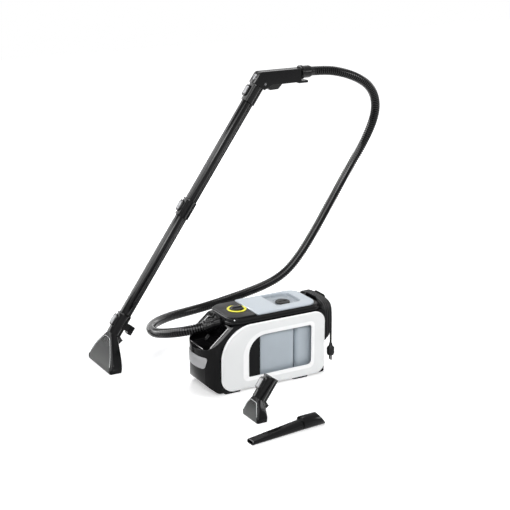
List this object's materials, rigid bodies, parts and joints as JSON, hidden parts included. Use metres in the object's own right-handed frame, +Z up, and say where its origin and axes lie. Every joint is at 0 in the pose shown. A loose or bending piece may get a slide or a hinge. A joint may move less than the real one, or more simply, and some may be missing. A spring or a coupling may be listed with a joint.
{
  "type": "carpet_cleaner",
  "caption": "Compact black and white spray-extraction carpet cleaner with ribbed hose, long suction wand, floor nozzle, hand nozzle and crevice tool",
  "frame": {"origin": "middle of the footprint of the whole set, on the floor", "axes": "+X from the hose end of the machine to its cord end, +Y from the machine to the standing wand, +Z up"},
  "size_m": [1.1679, 0.9292, 0.9795],
  "materials": {
    "black_shell": "fine satin moulding",
    "gloss_black": "smooth glossy moulding",
    "satin_black": "satin moulding",
    "white_shell": "smooth semi-gloss moulding",
    "pale_lid": "smooth pale bluish grey moulding",
    "smoked_tank": "smoked translucent moulding",
    "clear_cover": "clear moulded cover",
    "yellow_ring": "bright yellow moulding",
    "badge_grey": "bare satin plate",
    "light_grey": "satin moulding",
    "soft_rubber": "soft matt moulding",
    "hose_black": "ribbed flexible moulding",
    "steel": "plain metal",
    "pale_plastic": "plain pale moulding"
  },
  "bodies": {
    "machine": {"lower_housing": "black_shell", "rubber_feet": "soft_rubber", "base_screws": "steel", "side_panel_near": "white_shell", "side_panel_far": "white_shell", "badge_plate": "badge_grey", "top_cover": "gloss_black", "control_panel": "satin_black", "dial_ring": "yellow_ring", "switch_block": "satin_black", "hose_port": "black_shell", "inlet_seals": "soft_rubber", "air_duct": "satin_black", "turbine_motor": "steel", "fan_housing": "satin_black", "water_pump": "satin_black", "feed_tube": "pale_plastic", "delivery_tube": "pale_plastic", "cord_hook": "black_shell", "cord_gland": "soft_rubber", "cord_hank": "soft_rubber", "mains_plug": "soft_rubber", "suction_hose": "hose_black", "hose_cuff": "gloss_black", "hose_collar": "gloss_black"},
    "dial": {"selector_knob": "satin_black"},
    "turbine": {"turbine_rotor": "pale_plastic"},
    "tanks": {"dirty_tank": "smoked_tank", "fresh_tank": "smoked_tank", "tank_divider": "satin_black"},
    "lid": {"tank_lid": "pale_lid", "lid_seal": "soft_rubber"},
    "lock": {"lid_lock": "satin_black"},
    "float": {"shutoff_float": "pale_plastic"},
    "wand": {"lower_tube": "gloss_black", "lower_socket": "gloss_black", "upper_tube": "gloss_black", "upper_socket": "gloss_black", "lower_spray_pipe": "satin_black", "upper_spray_pipe": "satin_black", "handle_shell_near": "gloss_black", "handle_shell_far": "gloss_black", "handle_elbow": "satin_black", "spray_valve": "satin_black", "floor_nozzle_socket": "gloss_black", "floor_nozzle_body": "gloss_black", "floor_nozzle_window": "clear_cover", "floor_spray_jet": "satin_black"},
    "trigger_lever": {"trigger": "satin_black"},
    "relief": {"relief_slide": "light_grey"},
    "nozzle_button": {"nozzle_lock": "light_grey"},
    "tube_button": {"tube_lock": "light_grey"},
    "handle_button": {"handle_lock": "light_grey"},
    "hand_nozzle": {"hand_nozzle_socket": "gloss_black", "hand_nozzle_body": "gloss_black", "hand_nozzle_window": "clear_cover", "hand_spray_jet": "satin_black"},
    "hand_button": {"hand_lock": "light_grey"},
    "crevice": {"crevice_tool": "gloss_black"}
  },
  "joints": [
    {"name": "dial_turn", "type": "hinge", "parent": "machine", "child": "dial", "pos_m": [-0.062, 0.015, 0.258], "axis": [0, 0, 1], "range_deg": [0, 90]},
    {"name": "turbine_spin", "type": "hinge", "parent": "machine", "child": "turbine", "pos_m": [-0.094, 0.051, 0.085], "axis": [0, 0, 1], "continuous": true},
    {"name": "tank_lift", "type": "slide", "parent": "machine", "child": "tanks", "axis": [0, 0, 1], "range_m": [0, 0.25]},
    {"name": "lid_lift", "type": "slide", "parent": "tanks", "child": "lid", "axis": [0, 0, 1], "range_m": [0, 0.1]},
    {"name": "lock_turn", "type": "hinge", "parent": "lid", "child": "lock", "pos_m": [0.115, 0.015, 0.25], "axis": [0, 0, 1], "range_deg": [0, 90]},
    {"name": "float_rise", "type": "slide", "parent": "lid", "child": "float", "axis": [0, 0, 1], "range_m": [0, 0.018]},
    {"name": "wand_swivel", "type": "hinge", "parent": "machine", "child": "wand", "pos_m": [0.4, 0.365, 0.955], "axis": [1, 0, 0], "range_deg": [-8, 60]},
    {"name": "trigger_pull", "type": "hinge", "parent": "wand", "child": "trigger_lever", "pos_m": [0.264, 0.365, 0.922], "axis": [0, -1, 0], "range_deg": [0, 8], "stiffness_Nm_per_rad": 1.2},
    {"name": "relief_open", "type": "slide", "parent": "wand", "child": "relief", "axis": [0.5736, 0, 0.8192], "range_m": [0, 0.006]},
    {"name": "nozzle_lock_press", "type": "slide", "parent": "wand", "child": "nozzle_button", "axis": [0.8192, 0, -0.5736], "range_m": [0, 0.0025], "stiffness_N_per_m": 600},
    {"name": "tube_lock_press", "type": "slide", "parent": "wand", "child": "tube_button", "axis": [0.8192, 0, -0.5736], "range_m": [0, 0.0025], "stiffness_N_per_m": 600},
    {"name": "handle_lock_press", "type": "slide", "parent": "wand", "child": "handle_button", "axis": [0.8192, 0, -0.5736], "range_m": [0, 0.0025], "stiffness_N_per_m": 600},
    {"name": "hand_nozzle_lift", "type": "slide", "parent": "machine", "child": "hand_nozzle", "axis": [0, 0, 1], "range_m": [0, 0.3]},
    {"name": "hand_lock_press", "type": "slide", "parent": "hand_nozzle", "child": "hand_button", "axis": [0.8192, 0, -0.5736], "range_m": [0, 0.0025], "stiffness_N_per_m": 600},
    {"name": "crevice_lift", "type": "slide", "parent": "machine", "child": "crevice", "axis": [0, 0, 1], "range_m": [0, 0.3]}
  ]
}
